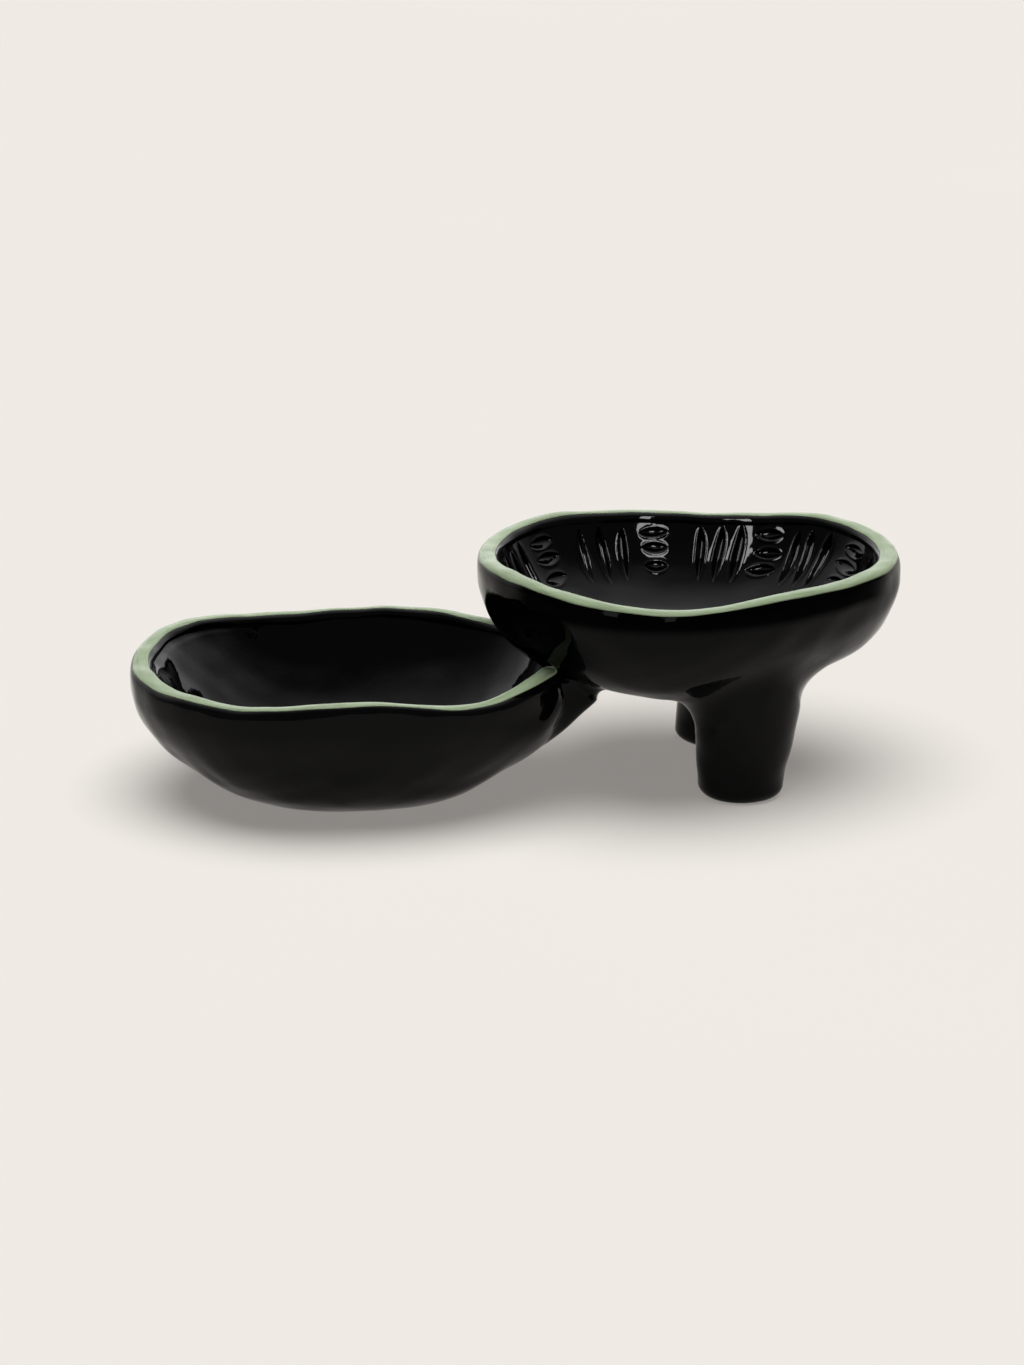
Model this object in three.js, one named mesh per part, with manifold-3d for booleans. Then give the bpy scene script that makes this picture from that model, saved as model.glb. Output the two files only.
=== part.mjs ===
// A two-bowl tapas dish, hand-built in clay: a low bowl that stands on the table and a raised bowl on two
// stubby legs, joined at their rims. Black glaze all over, with a sage green glaze band on each rim.
// Millimetres, +Z up, standing on z = 0. The low bowl is at -X, the raised bowl at +X, the front at -Y.
import * as THREE from 'three';
import { mergeVertices } from 'three/addons/utils/BufferGeometryUtils.js';
import Module from 'manifold-3d';

// Driving dimensions of both bowls
const BOWL_SPACING = 105.6; // between the two bowls' axes, along X
const BOWL_OFFSET = 5; // how far the raised bowl's axis stands behind the low bowl's, along Y
const WALL = 6; // clay wall at the rim
const LIP_BULGE = 3.8; // from the middle of the rim to the widest line of the outside
const LIP_DROP = 4; // from the top of the rim down to that widest line
const FLOOR = 6.5; // clay under the inside of a bowl
const RIM_POWER = 2.6; // squareness of the rim's top, where 2 is round

// The green glaze bands and the clearance between neighbouring pieces
const GLAZE_DEPTH = 1;
const BAND_OUTSIDE_DROP = 1.5; // from the top of the rim to the band's outer edge
const BAND_INSIDE_DROP = 1.2; // from the top of the rim to the band's inner edge
const SEAM_GAP = 0.3;

// The low bowl: its length and width are taken at the middle of the rim
const LOWER_HALF_LENGTH = 64.8;
const LOWER_HALF_WIDTH = 52.3;
const LOWER_TURN = -8; // degrees by which its long side is turned from X
const LOWER_RIM_HEIGHT = 42.7;
const LOWER_FOOT_RADIUS = 24;
const LOWER_BELLY = 1.65; // fullness of its wall's curve, where 1 is a cone and 2 an ellipse
const LOWER_LOBE = 1.5; // depth of the three-lobed wave of its outline
const LOWER_LOBE_TURN = -12; // degrees, where one of those lobes points

// The raised bowl
const UPPER_HALF_LENGTH = 62.3;
const UPPER_HALF_WIDTH = 53.6;
const UPPER_TURN = -0.5;
const UPPER_RIM_HEIGHT = 70.7;
const UPPER_LIFT = 34.6; // height of its underside
const UPPER_FOOT_RADIUS = 30;
const UPPER_BELLY = 1.85;
const UPPER_LOBE = 2.5;
const UPPER_LOBE_TURN = 7;

// The uneven height of the two rims: how many waves go round, their height and where one peaks, in degrees
const LOWER_RIM_WAVES = [
  { count: 2, height: 0.5, peak: 6 },
  { count: 3, height: 0.9, peak: 28 },
  { count: 4, height: 1, peak: -16 },
  { count: 5, height: 0.6, peak: -14 },
];
const UPPER_RIM_WAVES = [
  { count: 1, height: 0.5, peak: 80 },
  { count: 2, height: 0.9, peak: 3 },
  { count: 4, height: 0.7, peak: 31 },
];

// The grooves pressed into the raised bowl's inside wall, in blocks that stand and lie in turn
const GROOVE_BLOCKS = 18;
const STANDING_GROOVES = 3; // in one block
const LYING_GROOVES = 3; // in one block
const GROOVE_TOP = 3.5; // from the rim down to the grooves
const GROOVE_LENGTH = 16;
const GROOVE_DEPTH = 1.3;
const GROOVE_TURN = 24; // degrees, where the first standing block starts

// The two legs under the raised bowl and the coils of clay smoothed round their tops
const FRONT_LEG_X = 16; // from the raised bowl's axis, along X
const REAR_LEG_X = 17.8; // from the raised bowl's axis, along X
const LEG_SPACING = 53; // between the two legs, along Y, with the raised bowl's axis midway
const LEG_TOP_RADIUS = 16.6;
const LEG_FOOT_RADIUS = 13;
const LEG_FOOT_ROUND = 4; // rounding of the lower edge
const COIL_RADIUS = 13; // hollow of the smoothed coil, from the leg's side to the bowl
const COIL_EDGE = 0.6; // thickness of the coil's edges
const LEG_ROOT = 3; // how far legs and coils reach up into the bowl, before they are cut

// The web of clay under the joint of the two bowls
const BRIDGE_LOW = 11; // height at which it leaves the low bowl's wall
const BRIDGE_REACH = 8.8; // from the low bowl's lip to the line where the web meets the raised bowl
const BRIDGE_UPRIGHT = 5; // from that line down to where the web's swelling side turns upright
const BRIDGE_HALF_WIDTH = 38;
const BRIDGE_BITE = 1; // how far its lower edge starts inside the low bowl's wall, before it is cut
const BRIDGE_ROOT = 4; // how far it reaches into the low bowl's lip and the raised bowl, before it is cut
const BRIDGE_END_POWER = 4; // squareness of its rounded ends

// Fineness of the meshes
const LOWER_SEGMENTS = 72;
const UPPER_SEGMENTS = GROOVE_BLOCKS * STANDING_GROOVES * 2;
const WALL_STEPS = 7;
const RIM_STEPS = 4;
const LIP_STEPS = 2;
const FLOOR_STEPS = 3;
const BAND_SEGMENTS = 72;
const LEG_SEGMENTS = 32;
const LEG_STEPS = 3;
const COIL_STEPS = 5;
const BRIDGE_STEPS = 10;

// Looks of the two glazes
const BLACK_GLAZE = 0x151516;
const BLACK_ROUGHNESS = 0.08;
const GREEN_GLAZE = 0x9bab8d;
const GREEN_ROUGHNESS = 0.2;

const wasm = await Module();
wasm.setup();

const { degToRad, clamp, lerp } = THREE.MathUtils;
const at = (radius, height) => new THREE.Vector2(radius, height);
const steps = (count) => Array.from({ length: count + 1 }, (_, index) => index / count);

// One bowl's hand-made form: the plan and the waves of its rim, and its walls before they are out of round.
function bowlForm(spec) {
  const meanRadius = Math.sqrt(spec.halfLength * spec.halfWidth);
  const widest = meanRadius + LIP_BULGE;
  const widestHeight = spec.rimHeight - LIP_DROP;
  const insideTop = spec.rimHeight - WALL / 2;

  // How much wider than round the bowl is in one direction
  const planScale = (angle) => {
    const along = Math.cos(angle - degToRad(spec.turn)) / spec.halfLength;
    const across = Math.sin(angle - degToRad(spec.turn)) / spec.halfWidth;
    const lobe = spec.lobe * Math.cos(3 * (angle - degToRad(spec.lobeTurn)));
    return (1 / Math.hypot(along, across) + lobe) / meanRadius;
  };

  // How far a point at one height moves up or down with the waves of the rim
  const lift = (angle, height) => {
    const share = clamp((height - spec.bottom) / (spec.rimHeight - spec.bottom), 0, 1);
    const waveHeight = (wave) => wave.height * Math.cos(wave.count * (angle - degToRad(wave.peak)));
    return share * spec.waves.reduce((sum, wave) => sum + waveHeight(wave), 0);
  };

  // A point of the round bowl, taken to its place in the hand-made one
  const shape = ({ x, y, z }) => {
    const angle = Math.atan2(y, x);
    const scale = planScale(angle);
    return new THREE.Vector3(spec.x + x * scale, spec.y + y * scale, z + lift(angle, z));
  };

  // Both walls rise from the foot in one curve, which runs out level at the foot and upright at the lip
  const bellyPoint = (share, side, low, high) => {
    const out = Math.sin(share * Math.PI / 2) ** (2 / spec.belly);
    const down = Math.cos(share * Math.PI / 2) ** (2 / spec.belly);
    return at(lerp(spec.footRadius, side, out), lerp(high, low, down));
  };
  const outerPoint = (share) => bellyPoint(share, widest, spec.bottom, widestHeight);
  const innerPoint = (share) => bellyPoint(share, meanRadius - WALL / 2, spec.bottom + FLOOR, insideTop);
  const innerShare = (height) => {
    const down = (insideTop - height) / (insideTop - spec.bottom - FLOOR);
    return Math.acos(clamp(down, 0, 1) ** (spec.belly / 2)) / (Math.PI / 2);
  };

  // A point of the outer wall, or inside it by a given depth
  const wallPoint = (angle, height, inset) => {
    const down = (widestHeight - height) / (widestHeight - spec.bottom);
    const out = (1 - clamp(down, 0, 1) ** spec.belly) ** (1 / spec.belly);
    const radius = lerp(spec.footRadius, widest, out) - inset;
    return shape(new THREE.Vector3(radius * Math.cos(angle), radius * Math.sin(angle), height));
  };

  // Height of the bowl's underside above a point of the table
  const underside = (x, y) => {
    const angle = Math.atan2(y - spec.y, x - spec.x);
    const radius = Math.hypot(x - spec.x, y - spec.y) / planScale(angle);
    const out = clamp((radius - spec.footRadius) / (widest - spec.footRadius), 0, 1);
    const height = lerp(widestHeight, spec.bottom, (1 - out ** spec.belly) ** (1 / spec.belly));
    return height + lift(angle, height);
  };

  return { ...spec, meanRadius, widest, shape, outerPoint, innerPoint, innerShare, wallPoint, underside };
}

const lower = bowlForm({
  x: -BOWL_SPACING / 2,
  y: -BOWL_OFFSET / 2,
  halfLength: LOWER_HALF_LENGTH,
  halfWidth: LOWER_HALF_WIDTH,
  turn: LOWER_TURN,
  rimHeight: LOWER_RIM_HEIGHT,
  bottom: 0,
  footRadius: LOWER_FOOT_RADIUS,
  belly: LOWER_BELLY,
  lobe: LOWER_LOBE,
  lobeTurn: LOWER_LOBE_TURN,
  waves: LOWER_RIM_WAVES,
});

const upper = bowlForm({
  x: BOWL_SPACING / 2,
  y: BOWL_OFFSET / 2,
  halfLength: UPPER_HALF_LENGTH,
  halfWidth: UPPER_HALF_WIDTH,
  turn: UPPER_TURN,
  rimHeight: UPPER_RIM_HEIGHT,
  bottom: UPPER_LIFT,
  footRadius: UPPER_FOOT_RADIUS,
  belly: UPPER_BELLY,
  lobe: UPPER_LOBE,
  lobeTurn: UPPER_LOBE_TURN,
  waves: UPPER_RIM_WAVES,
});

// A point of the rim's top: turn runs from 0 at the widest outside line over the top to 1 inside.
function rimPoint(form, turn, inset) {
  const outside = turn < 0.5;
  const width = outside ? LIP_BULGE : WALL / 2;
  const drop = outside ? LIP_DROP : WALL / 2;
  const side = Math.abs(Math.cos(turn * Math.PI)) ** (2 / RIM_POWER) * (outside ? 1 : -1);
  const rise = Math.sin(turn * Math.PI) ** (2 / RIM_POWER);
  return at(form.meanRadius + (width - inset) * side, form.rimHeight - drop + (drop - inset) * rise);
}

// The two edges of the glaze band, as turns over the rim, with an allowance beyond the band.
function bandTurns(allowance) {
  const turnAt = (drop, full) => Math.asin((1 - drop / full) ** (RIM_POWER / 2)) / Math.PI;
  const outer = turnAt(BAND_OUTSIDE_DROP + allowance, LIP_DROP);
  const inner = 1 - turnAt(BAND_INSIDE_DROP + allowance, WALL / 2);
  return { outer, inner };
}

// A stretch of the rim's top, in a number of steps.
function rimArc(form, from, to, inset, count) {
  return steps(count).map((t) => rimPoint(form, lerp(from, to, t), inset));
}

// A profile turned about Z, with each point then moved to its place in the hand-made form.
function turned(profile, segments, place, startAngle = 0) {
  const geometry = new THREE.LatheGeometry(profile, segments, startAngle + Math.PI / 2);
  geometry.rotateX(Math.PI / 2);
  return placed(geometry, place);
}

function placed(geometry, place) {
  const position = geometry.attributes.position;
  const vertex = new THREE.Vector3();
  for (let index = 0; index < position.count; index += 1) {
    vertex.fromBufferAttribute(position, index);
    const moved = place(vertex);
    position.setXYZ(index, moved.x, moved.y, moved.z);
  }
  return geometry;
}

// The closed solid that a geometry bounds
function solidOf(geometry) {
  geometry.deleteAttribute('normal');
  geometry.deleteAttribute('uv');
  const merged = mergeVertices(geometry);
  const corners = merged.index.array;
  const kept = [];
  for (let index = 0; index < corners.length; index += 3) {
    const [a, b, c] = corners.slice(index, index + 3);
    if (a !== b && b !== c && c !== a) {
      kept.push(a, b, c);
    }
  }
  const vertProperties = new Float32Array(merged.attributes.position.array);
  return new wasm.Manifold(new wasm.Mesh({ numProp: 3, vertProperties, triVerts: new Uint32Array(kept) }));
}

function geometryOf(solid) {
  const mesh = solid.getMesh();
  const geometry = new THREE.BufferGeometry();
  geometry.setAttribute('position', new THREE.BufferAttribute(mesh.vertProperties, 3));
  geometry.setIndex(new THREE.BufferAttribute(mesh.triVerts, 1));
  geometry.computeVertexNormals();
  return geometry;
}

// A bowl's profile: foot, outer wall, rim with a seat for the glaze band, inner wall and floor.
function bowlProfile(form, innerWall) {
  const seat = bandTurns(SEAM_GAP);
  return [
    at(0, form.bottom),
    ...steps(WALL_STEPS).map(form.outerPoint),
    ...rimArc(form, 0, seat.outer, 0, LIP_STEPS).slice(1),
    ...rimArc(form, seat.outer, seat.inner, GLAZE_DEPTH + SEAM_GAP, RIM_STEPS),
    ...rimArc(form, seat.inner, 1, 0, LIP_STEPS),
    ...innerWall.slice(1),
    at(0, form.bottom + FLOOR),
  ];
}

// The outside of a bowl as one full body, grown by the clearance that its neighbours keep.
function envelope(form, segments) {
  const wall = steps(WALL_STEPS).map(form.outerPoint);
  const profile = [
    at(0, form.bottom - SEAM_GAP),
    at(form.footRadius, form.bottom - SEAM_GAP),
    ...wall.slice(1).map(({ x, y }) => at(x + SEAM_GAP, y - SEAM_GAP)),
    at(form.widest + SEAM_GAP, form.rimHeight),
    at(0, form.rimHeight),
  ];
  return solidOf(turned(profile, segments, form.shape));
}

function glazeBand(form, segments) {
  const { outer, inner } = bandTurns(0);
  const top = rimArc(form, outer, inner, 0, RIM_STEPS);
  const seat = rimArc(form, inner, outer, GLAZE_DEPTH, RIM_STEPS);
  return solidOf(turned([...top, ...seat, top[0]], segments, form.shape));
}

// Depth of the pressed pattern at one direction and one distance below the rim.
function grooveDepth(angle, below) {
  const along = (below - GROOVE_TOP) / GROOVE_LENGTH;
  if (along <= 0 || along >= 1) {
    return 0;
  }
  const round = THREE.MathUtils.euclideanModulo(angle - degToRad(GROOVE_TURN), 2 * Math.PI) / (2 * Math.PI);
  const block = Math.floor(round * GROOVE_BLOCKS);
  const across = round * GROOVE_BLOCKS - block;
  const standing = block % 2 === 0;
  const wave = standing ? STANDING_GROOVES * across : LYING_GROOVES * along;
  const fade = Math.sqrt(Math.sin(Math.PI * (standing ? along : across)));
  return GROOVE_DEPTH * Math.sin(Math.PI * wave) ** 2 * fade;
}

function makeLowerBowl() {
  const innerWall = steps(WALL_STEPS).map((share) => lower.innerPoint(1 - share));
  const bowl = solidOf(turned(bowlProfile(lower, innerWall), LOWER_SEGMENTS, lower.shape));
  return bowl.subtract(upperEnvelope);
}

function makeUpperBowl() {
  const grooveTop = UPPER_RIM_HEIGHT - GROOVE_TOP;
  const rows = steps(LYING_GROOVES * 2).map((share) => grooveTop - share * GROOVE_LENGTH);
  const shares = rows.map(upper.innerShare);
  const lowest = shares[shares.length - 1];
  const lowShares = steps(FLOOR_STEPS).map((share) => lowest * (1 - share)).slice(1);
  const innerWall = [1, ...shares, ...lowShares].map(upper.innerPoint);
  const pressed = (vertex) => {
    const below = UPPER_RIM_HEIGHT - vertex.z;
    const radius = Math.hypot(vertex.x, vertex.y);
    const innerRadius = upper.innerPoint(upper.innerShare(vertex.z)).x;
    const onInnerWall = Math.abs(radius - innerRadius) < SEAM_GAP;
    const depth = onInnerWall ? grooveDepth(Math.atan2(vertex.y, vertex.x), below) : 0;
    const grown = radius > 0 ? 1 + depth / radius : 1;
    return upper.shape(new THREE.Vector3(vertex.x * grown, vertex.y * grown, vertex.z));
  };
  return solidOf(turned(bowlProfile(upper, innerWall), UPPER_SEGMENTS, pressed, degToRad(GROOVE_TURN)));
}

const frontLeg = { x: upper.x + FRONT_LEG_X, y: upper.y - LEG_SPACING / 2, inward: 1 };
const rearLeg = { x: upper.x + REAR_LEG_X, y: upper.y + LEG_SPACING / 2, inward: -1 };

// Radius of a leg, by the share of its height from the foot to the bowl.
const legRadius = (share) => lerp(LEG_FOOT_RADIUS, LEG_TOP_RADIUS, share);

// Height of the raised bowl's underside at a place beside a leg's axis.
function roofOver(leg, angle, radius) {
  return upper.underside(leg.x + radius * Math.cos(angle), leg.y + radius * Math.sin(angle));
}

// A leg, turned with heights from 0 at the foot to 1 in the bowl. The bowl's underside then cuts its top.
function makeLeg(leg) {
  const roundShare = LEG_FOOT_ROUND / UPPER_LIFT;
  const foot = steps(LEG_STEPS).map((t) => {
    const turn = t * Math.PI / 2;
    const radius = legRadius(roundShare) - LEG_FOOT_ROUND * (1 - Math.sin(turn));
    return at(radius, roundShare * (1 - Math.cos(turn)));
  });
  const side = steps(LEG_STEPS).map((t) => at(legRadius(lerp(roundShare, 1, t)), lerp(roundShare, 1, t)));
  const top = steps(LEG_STEPS).map((t) => at(LEG_TOP_RADIUS * (1 - t), 1));
  const profile = [at(0, 0), ...foot, ...side.slice(1), ...top.slice(1)];
  const stand = ({ x, y, z }) => {
    const height = z * (roofOver(leg, Math.atan2(y, x), Math.hypot(x, y)) + LEG_ROOT);
    return new THREE.Vector3(leg.x + x, leg.y + y, height);
  };
  return solidOf(turned(profile, LEG_SEGMENTS, stand)).subtract(upperEnvelope);
}

// The coil round a leg's top. It is turned as a ring in shares: radius 1 to 2 is the way from the leg out to
// the coil's edge, and height 0 to 1 the way from its lower edge up to the bowl. Where the bowl's wall is
// steep, the corner is wide open and takes a smaller hollow. The two coils meet midway between the legs.
function makeCoil(leg) {
  const edge = COIL_EDGE / COIL_RADIUS;
  const hollow = steps(COIL_STEPS).map((t) => {
    const turn = t * Math.PI / 2;
    return at(2 - (1 - edge) * Math.cos(turn), (1 - edge) * Math.sin(turn));
  });
  const top = steps(LEG_STEPS).map((t) => at(2 - t, 1));
  const inner = steps(LEG_STEPS).map((t) => at(1, 1 - t));
  const profile = [at(1, 0), ...hollow, ...top, ...inner.slice(1)];
  const fit = ({ x, y, z }) => {
    const angle = Math.atan2(y, x);
    const sideRoof = roofOver(leg, angle, LEG_TOP_RADIUS);
    const rise = roofOver(leg, angle, LEG_TOP_RADIUS + COIL_RADIUS / 2) - sideRoof;
    const slope = Math.atan2(rise, COIL_RADIUS / 2);
    const drop = COIL_RADIUS * Math.tan((Math.PI / 2 - slope) / 2);
    const down = (1 - z) * drop;
    const inside = legRadius(1 - down / sideRoof) + SEAM_GAP;
    const towardsTwin = Math.max(leg.inward * Math.sin(angle), Number.EPSILON);
    const room = (LEG_SPACING / 2 - SEAM_GAP) / towardsTwin - LEG_TOP_RADIUS - SEAM_GAP;
    const radius = inside + (Math.hypot(x, y) - 1) * Math.min(drop * Math.cos(slope), room);
    const root = z === 1 ? LEG_ROOT : -SEAM_GAP;
    const height = roofOver(leg, angle, radius) - down + root;
    return new THREE.Vector3(leg.x + radius * Math.cos(angle), leg.y + radius * Math.sin(angle), height);
  };
  return solidOf(turned(profile, LEG_SEGMENTS, fit)).subtract(upperEnvelope);
}

// The web under the joint: it swells out of the low bowl's wall and turns upright to meet the raised bowl's
// underside. Its section narrows at both ends to a core line inside the low bowl's lip.
function makeBridge() {
  const section = new THREE.Shape(steps(BRIDGE_STEPS).map((t) => at(t, 0)));
  section.lineTo(0, 1);
  const web = new THREE.ExtrudeGeometry(section, { depth: 1, steps: BRIDGE_STEPS, bevelEnabled: false });
  const fit = (vertex) => {
    const across = 1 - 2 * vertex.z;
    const y = across * BRIDGE_HALF_WIDTH;
    const full = (1 - Math.abs(across) ** BRIDGE_END_POWER) ** (1 / BRIDGE_END_POWER);
    const lowerAngle = Math.asin((y - lower.y) / lower.widest);
    const start = lower.wallPoint(lowerAngle, BRIDGE_LOW, BRIDGE_BITE);
    const lip = lower.wallPoint(lowerAngle, lower.rimHeight - LIP_DROP, 0);
    const meetX = lip.x + BRIDGE_REACH;
    const roof = upper.underside(meetX, y);
    const swell = new THREE.Vector3(meetX, y, roof - BRIDGE_UPRIGHT);
    const end = new THREE.Vector3(meetX, y, roof + BRIDGE_ROOT);
    const core = new THREE.Vector3(lip.x - BRIDGE_ROOT, y, lip.z);
    const ramp = new THREE.CubicBezierCurve3(start, swell, swell, end);
    const outer = ramp.getPoint(vertex.x).lerp(core, vertex.y);
    return core.clone().lerp(outer, full);
  };
  return solidOf(placed(web, fit)).subtract(upperEnvelope).subtract(lowerEnvelope);
}

const upperEnvelope = envelope(upper, UPPER_SEGMENTS);
const lowerEnvelope = envelope(lower, LOWER_SEGMENTS);

const blackGlaze = new THREE.MeshStandardMaterial({ color: BLACK_GLAZE, roughness: BLACK_ROUGHNESS });
const greenGlaze = new THREE.MeshStandardMaterial({ color: GREEN_GLAZE, roughness: GREEN_ROUGHNESS });

const dish = new THREE.Group();

function add(name, solid, material) {
  const mesh = new THREE.Mesh(geometryOf(solid), material);
  mesh.name = name;
  dish.add(mesh);
}

add('lower_bowl', makeLowerBowl(), blackGlaze);
add('upper_bowl', makeUpperBowl(), blackGlaze);
add('bridge', makeBridge(), blackGlaze);
add('front_leg', makeLeg(frontLeg), blackGlaze);
add('rear_leg', makeLeg(rearLeg), blackGlaze);
add('front_leg_coil', makeCoil(frontLeg), blackGlaze);
add('rear_leg_coil', makeCoil(rearLeg), blackGlaze);
add('lower_rim_glaze', glazeBand(lower, BAND_SEGMENTS).subtract(upperEnvelope), greenGlaze);
add('upper_rim_glaze', glazeBand(upper, BAND_SEGMENTS), greenGlaze);

// The dish stands with the middle of its outline over the origin
const outline = new THREE.Box3().setFromObject(dish);
const middle = outline.getCenter(new THREE.Vector3());
dish.position.set(-middle.x, -middle.y, -outline.min.z);

export default dish;
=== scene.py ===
"""The looks of a two-bowl tapas dish in black glazed clay with sage green rims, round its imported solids.

Lengths are written in millimetres and angles in degrees, unless a name says otherwise. Functions that go
round the dish take angles in radians, and meshes are made in metres.
"""
import math
from collections import namedtuple

import bmesh
import bpy
import numpy as np
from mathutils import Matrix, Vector


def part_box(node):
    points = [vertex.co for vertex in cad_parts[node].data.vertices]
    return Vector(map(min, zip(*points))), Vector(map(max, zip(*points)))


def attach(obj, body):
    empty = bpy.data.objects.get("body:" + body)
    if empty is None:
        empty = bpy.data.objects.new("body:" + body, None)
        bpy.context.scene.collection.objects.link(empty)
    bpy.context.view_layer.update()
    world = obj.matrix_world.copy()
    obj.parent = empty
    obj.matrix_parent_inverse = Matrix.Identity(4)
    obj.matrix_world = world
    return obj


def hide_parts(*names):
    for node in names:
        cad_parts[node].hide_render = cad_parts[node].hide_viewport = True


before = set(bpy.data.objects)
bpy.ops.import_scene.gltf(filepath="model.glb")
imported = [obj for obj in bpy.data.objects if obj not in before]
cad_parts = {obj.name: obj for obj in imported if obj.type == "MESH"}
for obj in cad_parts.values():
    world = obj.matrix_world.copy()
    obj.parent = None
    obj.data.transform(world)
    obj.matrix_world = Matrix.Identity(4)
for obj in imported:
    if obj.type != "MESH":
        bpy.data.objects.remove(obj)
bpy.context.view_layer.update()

MM = 0.001
LUMP_SEED = 1840
MARK_SEED = 8
BAND_SEED = 21
GROOVE_SEED = 5

# The dish's dimensions, as in its solids
BOWL_SPACING = 105.6
BOWL_OFFSET = 5
WALL = 6
LIP_BULGE = 3.8
FLOOR = 6.5
RIM_POWER = 2.6
LOBES = 3
FRONT_LEG_X = 16
REAR_LEG_X = 17.8
LEG_SPACING = 53
LEG_TOP_RADIUS = 16.6
LEG_FOOT_RADIUS = 13
LEG_FOOT_ROUND = 4

# The lip's outside, which is taller and squarer than in the solids
LIP_DROP = 7.5
LIP_POWER = 3.6

# The inside: how its wall leans in below the rim, and the softened bend between the wall and the floor
WALL_LEAN = 0.34  # slope of the lean just below the rim
LEAN_DEPTH = 9  # depth over which the lean dies out
PROFILE_POINTS = 400
PROFILE_STEP = 0.25
SOFTENING = 6.5  # width of the softening
SOFTENING_WIDTHS = 3  # how many such widths it takes in on each side
RIM_KEPT = 5  # length of wall below the rim that isn't softened
SOFTENING_START = 14  # length over which the softening then grows

# The dish's place in the frame: the front leg's solid stands on the leg's axis
leg_low, leg_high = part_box("front_leg")
LEG_AXIS = (leg_low + leg_high) / 2 / MM
SHIFT = (LEG_AXIS.x - BOWL_SPACING / 2 - FRONT_LEG_X, LEG_AXIS.y - BOWL_OFFSET / 2 + LEG_SPACING / 2)


def even(first, last, count):
    return np.linspace(first, last, count)


def angles(count):
    return np.arange(count) * 2 * math.pi / count


def lerp(a, b, t):
    return a + (b - a) * t


def smooth(t):
    t = np.clip(t, 0, 1)
    return t * t * (3 - 2 * t)


class Bowl:
    """One bowl's hand-made form: its plan, the waves of its rim and the curves of its two walls."""

    def __init__(self, x, y, length, width, turn, rim, bottom, foot, belly, lobe, lobe_turn, waves):
        self.x, self.y = x + SHIFT[0], y + SHIFT[1]
        self.length, self.width, self.turn = length, width, math.radians(turn)
        self.rim, self.bottom, self.foot, self.belly = rim, bottom, foot, belly
        self.lobe, self.lobe_turn, self.waves = lobe, math.radians(lobe_turn), waves
        self.mean = math.sqrt(length * width)
        self.widest = self.mean + LIP_BULGE
        self.widest_z = rim - LIP_DROP

    def plan(self, angle):
        along = np.cos(angle - self.turn) / self.length
        across = np.sin(angle - self.turn) / self.width
        lobe = self.lobe * np.cos(LOBES * (angle - self.lobe_turn))
        return (1 / np.hypot(along, across) + lobe) / self.mean

    def lift(self, angle, z):
        share = np.clip((z - self.bottom) / (self.rim - self.bottom), 0, 1)
        waves = sum(h * np.cos(n * (angle - math.radians(peak))) for n, h, peak in self.waves)
        return share * waves

    def place(self, radius, angle, z):
        """Points of the round bowl, taken to their places in the hand-made one."""
        r = radius * self.plan(angle)
        x = self.x + r * np.cos(angle)
        y = self.y + r * np.sin(angle)
        return np.stack([x, y, z + self.lift(angle, z)], -1)

    def outer_radius(self, z):
        down = np.clip((self.widest_z - z) / (self.widest_z - self.bottom), 0, 1)
        return lerp(self.foot, self.widest, (1 - down ** self.belly) ** (1 / self.belly))

    def wall(self, share, side, low, high):
        out = np.sin(share * math.pi / 2) ** (2 / self.belly)
        down = np.cos(share * math.pi / 2) ** (2 / self.belly)
        return lerp(self.foot, side, out), lerp(high, low, down)

    def outer_wall(self, share):
        return self.wall(share, self.widest, self.bottom, self.widest_z)

    def inner_wall(self, share):
        return self.wall(share, self.mean - WALL / 2, self.bottom + FLOOR, self.rim - WALL / 2)

    def inside(self):
        """The inside's profile from the rim to the middle, with its bend softened as a hand does."""
        r, z = self.inner_wall(even(1, 0, PROFILE_POINTS))
        profile = np.concatenate([np.stack([r, z], -1), [[0, self.bottom + FLOOR]]])
        length = np.concatenate([[0], np.cumsum(np.linalg.norm(np.diff(profile, axis=0), axis=1))])
        along = np.arange(0, length[-1], PROFILE_STEP)
        line = np.stack([np.interp(along, length, profile[:, k]) for k in (0, 1)], -1)
        depth = line[0, 1] - line[:, 1]
        line[:, 0] *= 1 - WALL_LEAN * LEAN_DEPTH / line[0, 0] * (1 - np.exp(-depth / LEAN_DEPTH))
        reach = round(SOFTENING_WIDTHS * SOFTENING / PROFILE_STEP)
        above = 2 * line[0] - line[reach:0:-1]
        beyond = line[:-reach - 1:-1] * [-1, 1]
        weights = np.exp(-(np.arange(-reach, reach + 1) * PROFILE_STEP / SOFTENING) ** 2 / 2)
        weights /= weights.sum()
        padded = np.concatenate([above, line, beyond])
        soft = np.stack([np.convolve(padded[:, k], weights, "valid") for k in (0, 1)], -1)
        return lerp(line, soft, smooth((along - RIM_KEPT) / SOFTENING_START)[:, None])

    def rim_point(self, turn, proud=0.0):
        """turn runs from 0 at the widest outside line over the rim's top to 1 at the inside wall."""
        outside = turn < 0.5
        width = np.where(outside, LIP_BULGE, WALL / 2)
        drop = np.where(outside, LIP_DROP, WALL / 2)
        power = np.where(outside, LIP_POWER, RIM_POWER)
        side = np.abs(np.cos(turn * math.pi)) ** (2 / power) * np.where(outside, 1, -1)
        rise = np.sin(turn * math.pi) ** (2 / power)
        return self.mean + (width + proud) * side, self.rim - drop + (drop + proud) * rise

    def underside(self, x, y):
        """Height of the outside over points of the table."""
        angle = np.arctan2(y - self.y, x - self.x)
        radius = np.hypot(x - self.x, y - self.y) / self.plan(angle)
        out = np.clip((radius - self.foot) / (self.widest - self.foot), 0, 1)
        z = lerp(self.widest_z, self.bottom, (1 - out ** self.belly) ** (1 / self.belly))
        return z + self.lift(angle, z)


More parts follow.
